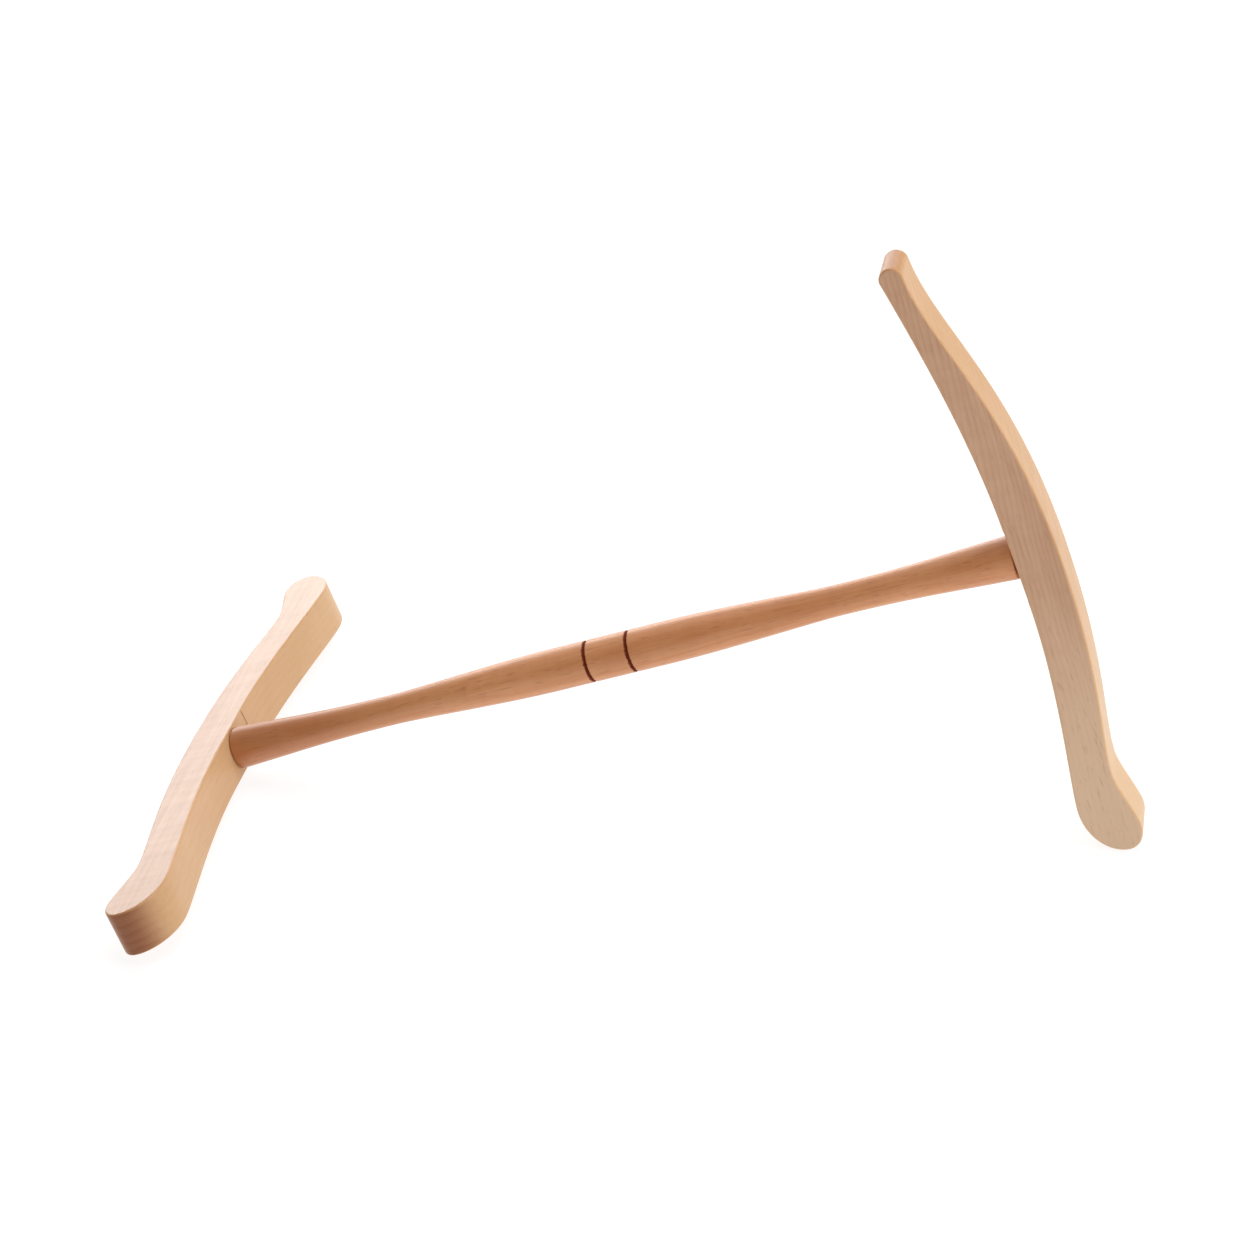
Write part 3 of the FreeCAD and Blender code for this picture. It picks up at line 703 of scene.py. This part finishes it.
    relief = add(tree, "ShaderNodeMath", {0: (fibre, "Fac"), 1: (spindle, 0)}, operation="SUBTRACT")
    bump = add(tree, "ShaderNodeBump", {"Height": (relief, 0)}, {"Strength": 0.25, "Distance": 0.03 * MM})
    lacquer = add(tree, "ShaderNodeMath", {0: (gloss, 0)}, {1: coat[0]}, operation="MULTIPLY")
    specular = add(tree, "ShaderNodeMath", {0: (gloss, 0)}, {1: 0.5}, operation="MULTIPLY")
    shader = add(tree, "ShaderNodeBsdfPrincipled",
                 {"Base Color": (finished, 2), "Roughness": (rough, 0), "Normal": (bump, "Normal"),
                  "Coat Weight": (lacquer, 0), "Specular IOR Level": (specular, 0)},
                 {"IOR": 1.5, "Coat Roughness": coat[1], "Coat IOR": 1.5})
    add(tree, "ShaderNodeOutputMaterial", {"Surface": (shader, "BSDF")})
    return material


# ---------------------------------------------------------------- operators

class WINDER_OT_shaft(bpy.types.Operator):
    """Turn the centre shaft with its burnt grooves and its two tenons"""
    bl_idname = "winder.shaft"
    bl_label = "Turn the shaft"

    def execute(self, context):
        s, c = context.scene.winder_shaft, context.scene.winder_beech
        material = beech("turned_beech_satin_lacquer", SHAFT_FRAME, c.shaft_pale, c.shaft_dark,
                         c.shaft_fleck, c, pith=(0.0, 34.0, -26.0),
                         rings=(3.0, 0.2, 0.0), sap=(-40.0, -175.0, 0.48, c.heartwood),
                         bands=(s.band_half / MM, s.groove_half / MM, s.band_shift / MM), coat=(0.3, 0.5))
        far = shaft_outline(s, s.band_half + s.band_shift)
        near = shaft_outline(s, s.band_half - s.band_shift)
        outline = [(-x, radius) for x, radius in reversed(near)] + far
        mesh = turned("turned_shaft", outline, s.facets, material)
        lean_shoulder(mesh, s)
        piece = shown("turned_shaft", mesh, SHAFT_FRAME)
        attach(piece, "shaft")
        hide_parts("centre_shaft")
        return {"FINISHED"}


class WINDER_OT_lipped_arm(bpy.types.Operator):
    """Saw, ease and bore the arm that has a lip at both ends"""
    bl_idname = "winder.lipped_arm"
    bl_label = "Saw the lipped arm"

    def execute(self, context):
        a, c = context.scene.winder_arms, context.scene.winder_beech
        material = beech("flat_sawn_beech_satin_lacquer", LIPPED_FRAME, c.arm_pale, c.arm_dark,
                         c.arm_fleck, c, pith=(0.0, 14.0, -88.0), rings=(3.4, 0.15, 0.02),
                         # paler towards the far end: partly sapwood, partly painted sheen on the top face
                         end=c.arm_end, curl=0.16, sap=(30.0, 125.0, 0.3, c.sapwood))
        outline = whole_outline(lipped_end(a, a.lipped_half), lipped_end(a, a.lipped_half))
        mesh = jointed_board("lipped_board", outline, a, material)
        piece = shown("lipped_board", mesh, LIPPED_FRAME)
        flat_faces_shade_flat(piece)
        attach(piece, "lipped")
        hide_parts("lipped_arm")
        return {"FINISHED"}


class WINDER_OT_release_arm(bpy.types.Operator):
    """Saw, ease and bore the arm with one plain end that the skein slips off"""
    bl_idname = "winder.release_arm"
    bl_label = "Saw the release arm"

    def execute(self, context):
        a, c = context.scene.winder_arms, context.scene.winder_beech
        # the release arm's end grain is painted lighter than the lipped arm's, a painted highlight on the
        # plain tip lit from above
        material = beech("rift_sawn_beech_satin_lacquer", RELEASE_FRAME, c.arm_pale, c.arm_dark,
                         c.arm_fleck, c, pith=(0.0, -70.0, 24.0), rings=(2.1, 0.3, 0.09),
                         # paler towards the lower, lipped end: partly sapwood, partly painted light bounced
                         # up from the floor
                         end=c.plain_end, sap=(-10.0, 100.0, 0.7, c.sapwood))
        outline = whole_outline(lipped_end(a, a.release_half), plain_end(a))
        mesh = jointed_board("release_board", outline, a, material)
        piece = shown("release_board", mesh, RELEASE_FRAME)
        flat_faces_shade_flat(piece)
        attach(piece, "release")
        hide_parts("release_arm")
        return {"FINISHED"}


class WINDER_OT_studio(bpy.types.Operator):
    """Lay the pale floor, hang the soft lights and set up the camera"""
    bl_idname = "winder.studio"
    bl_label = "Set up the studio"

    def execute(self, context):
        studio = context.scene.winder_studio
        self.lay_floor(studio)
        self.hang_lights(studio)
        self.place_camera(studio)
        return {"FINISHED"}

    def lay_floor(self, studio):
        """A plain floor in opal acrylic with a little light from below, as on a light table."""
        paper = bpy.data.materials.new("opal_acrylic_light_table")
        paper.use_nodes = True
        tree = paper.node_tree
        tree.nodes.clear()
        shader = add(tree, "ShaderNodeBsdfPrincipled", values={
            "Base Color": (*studio.floor, 1), "Roughness": 0.9, "Specular IOR Level": 0.1,
            "Emission Color": (1, 1, 1, 1), "Emission Strength": studio.table})
        add(tree, "ShaderNodeOutputMaterial", {"Surface": (shader, "BSDF")})
        corners = [(x * FLOOR_HALF, y * FLOOR_HALF, 0) for x, y in ((-1, -1), (1, -1), (1, 1), (-1, 1))]
        mesh = bpy.data.meshes.new("floor")
        mesh.from_pydata(corners, [], [(0, 1, 2, 3)])
        mesh.materials.append(paper)
        floor = bpy.data.objects.new("floor", mesh)
        bpy.context.scene.collection.objects.link(floor)

    def hang_lights(self, studio):
        """An even white surround and softboxes overhead, behind, at the side and in front."""
        world = bpy.data.worlds.new("white_surround")
        world.use_nodes = True
        world.node_tree.nodes.clear()
        even = add(world.node_tree, "ShaderNodeBackground",
                   values={"Color": (1, 1, 1, 1), "Strength": studio.sky})
        add(world.node_tree, "ShaderNodeOutputWorld", {"Surface": (even, 0)})
        bpy.context.scene.world = world
        for name, power, width, height, place in (
                ("overhead_softbox", studio.overhead, 1.4, 1.4, Vector((0.0, 0.35, 1.45))),
                ("back_softbox", studio.back, 2.4, 1.0, Vector((-0.7, 1.7, 0.62))),
                ("side_softbox", studio.side, 0.9, 0.9, Vector((1.25, 0.05, 0.65))),
                ("front_softbox", studio.front, 1.0, 1.0, Vector((1.0, -1.3, 0.6)))):
            lamp = bpy.data.lights.new(name, "AREA")
            lamp.shape, lamp.size, lamp.size_y, lamp.energy = "RECTANGLE", width, height, power
            light = bpy.data.objects.new(name, lamp)
            light.location = place
            light.rotation_euler = (SHAFT_MIDDLE - place).to_track_quat("-Z", "Y").to_euler()
            bpy.context.scene.collection.objects.link(light)

    def place_camera(self, studio):
        """A long lens from above the front, turned a little about its line of sight."""
        lens = bpy.data.cameras.new("camera")
        lens.lens = studio.lens
        camera = bpy.data.objects.new("camera", lens)
        turn, height = studio.azimuth, studio.elevation
        back = Vector((math.sin(turn) * math.cos(height), -math.cos(turn) * math.cos(height),
                       math.sin(height)))
        level = back.to_track_quat("Z", "Y").to_matrix().to_4x4()
        target = SHAFT_MIDDLE + Vector(studio.aim)
        camera.matrix_world = (Matrix.Translation(target + back * studio.distance) @ level
                               @ Matrix.Rotation(studio.roll, 4, "Z"))
        bpy.context.scene.collection.objects.link(camera)
        bpy.context.scene.camera = camera
        bpy.context.scene.view_settings.view_transform = "Standard"


class WINDER_PT_panel(bpy.types.Panel):
    """The winder's pieces, sizes and colours"""
    bl_label = "Niddy-noddy"
    bl_idname = "WINDER_PT_panel"
    bl_space_type = "VIEW_3D"
    bl_region_type = "UI"
    bl_category = "Niddy-noddy"

    def draw(self, context):
        for operator in OPERATORS:
            self.layout.operator(operator.bl_idname)
        for group, kind in GROUPS.items():
            box = self.layout.box()
            for name in kind.__annotations__:
                box.prop(getattr(context.scene, group), name)


OPERATORS = (WINDER_OT_studio, WINDER_OT_shaft, WINDER_OT_lipped_arm, WINDER_OT_release_arm)


def register():
    for kind in (*GROUPS.values(), *OPERATORS, WINDER_PT_panel):
        bpy.utils.register_class(kind)
    for group, kind in GROUPS.items():
        setattr(bpy.types.Scene, group, PointerProperty(type=kind))


def unregister():
    for group in GROUPS:
        delattr(bpy.types.Scene, group)
    for kind in (WINDER_PT_panel, *OPERATORS, *GROUPS.values()):
        bpy.utils.unregister_class(kind)


def main():
    """Build the winder and its stage."""
    register()
    bpy.ops.winder.studio()
    bpy.ops.winder.shaft()
    bpy.ops.winder.lipped_arm()
    bpy.ops.winder.release_arm()


if __name__ == "__main__":
    main()
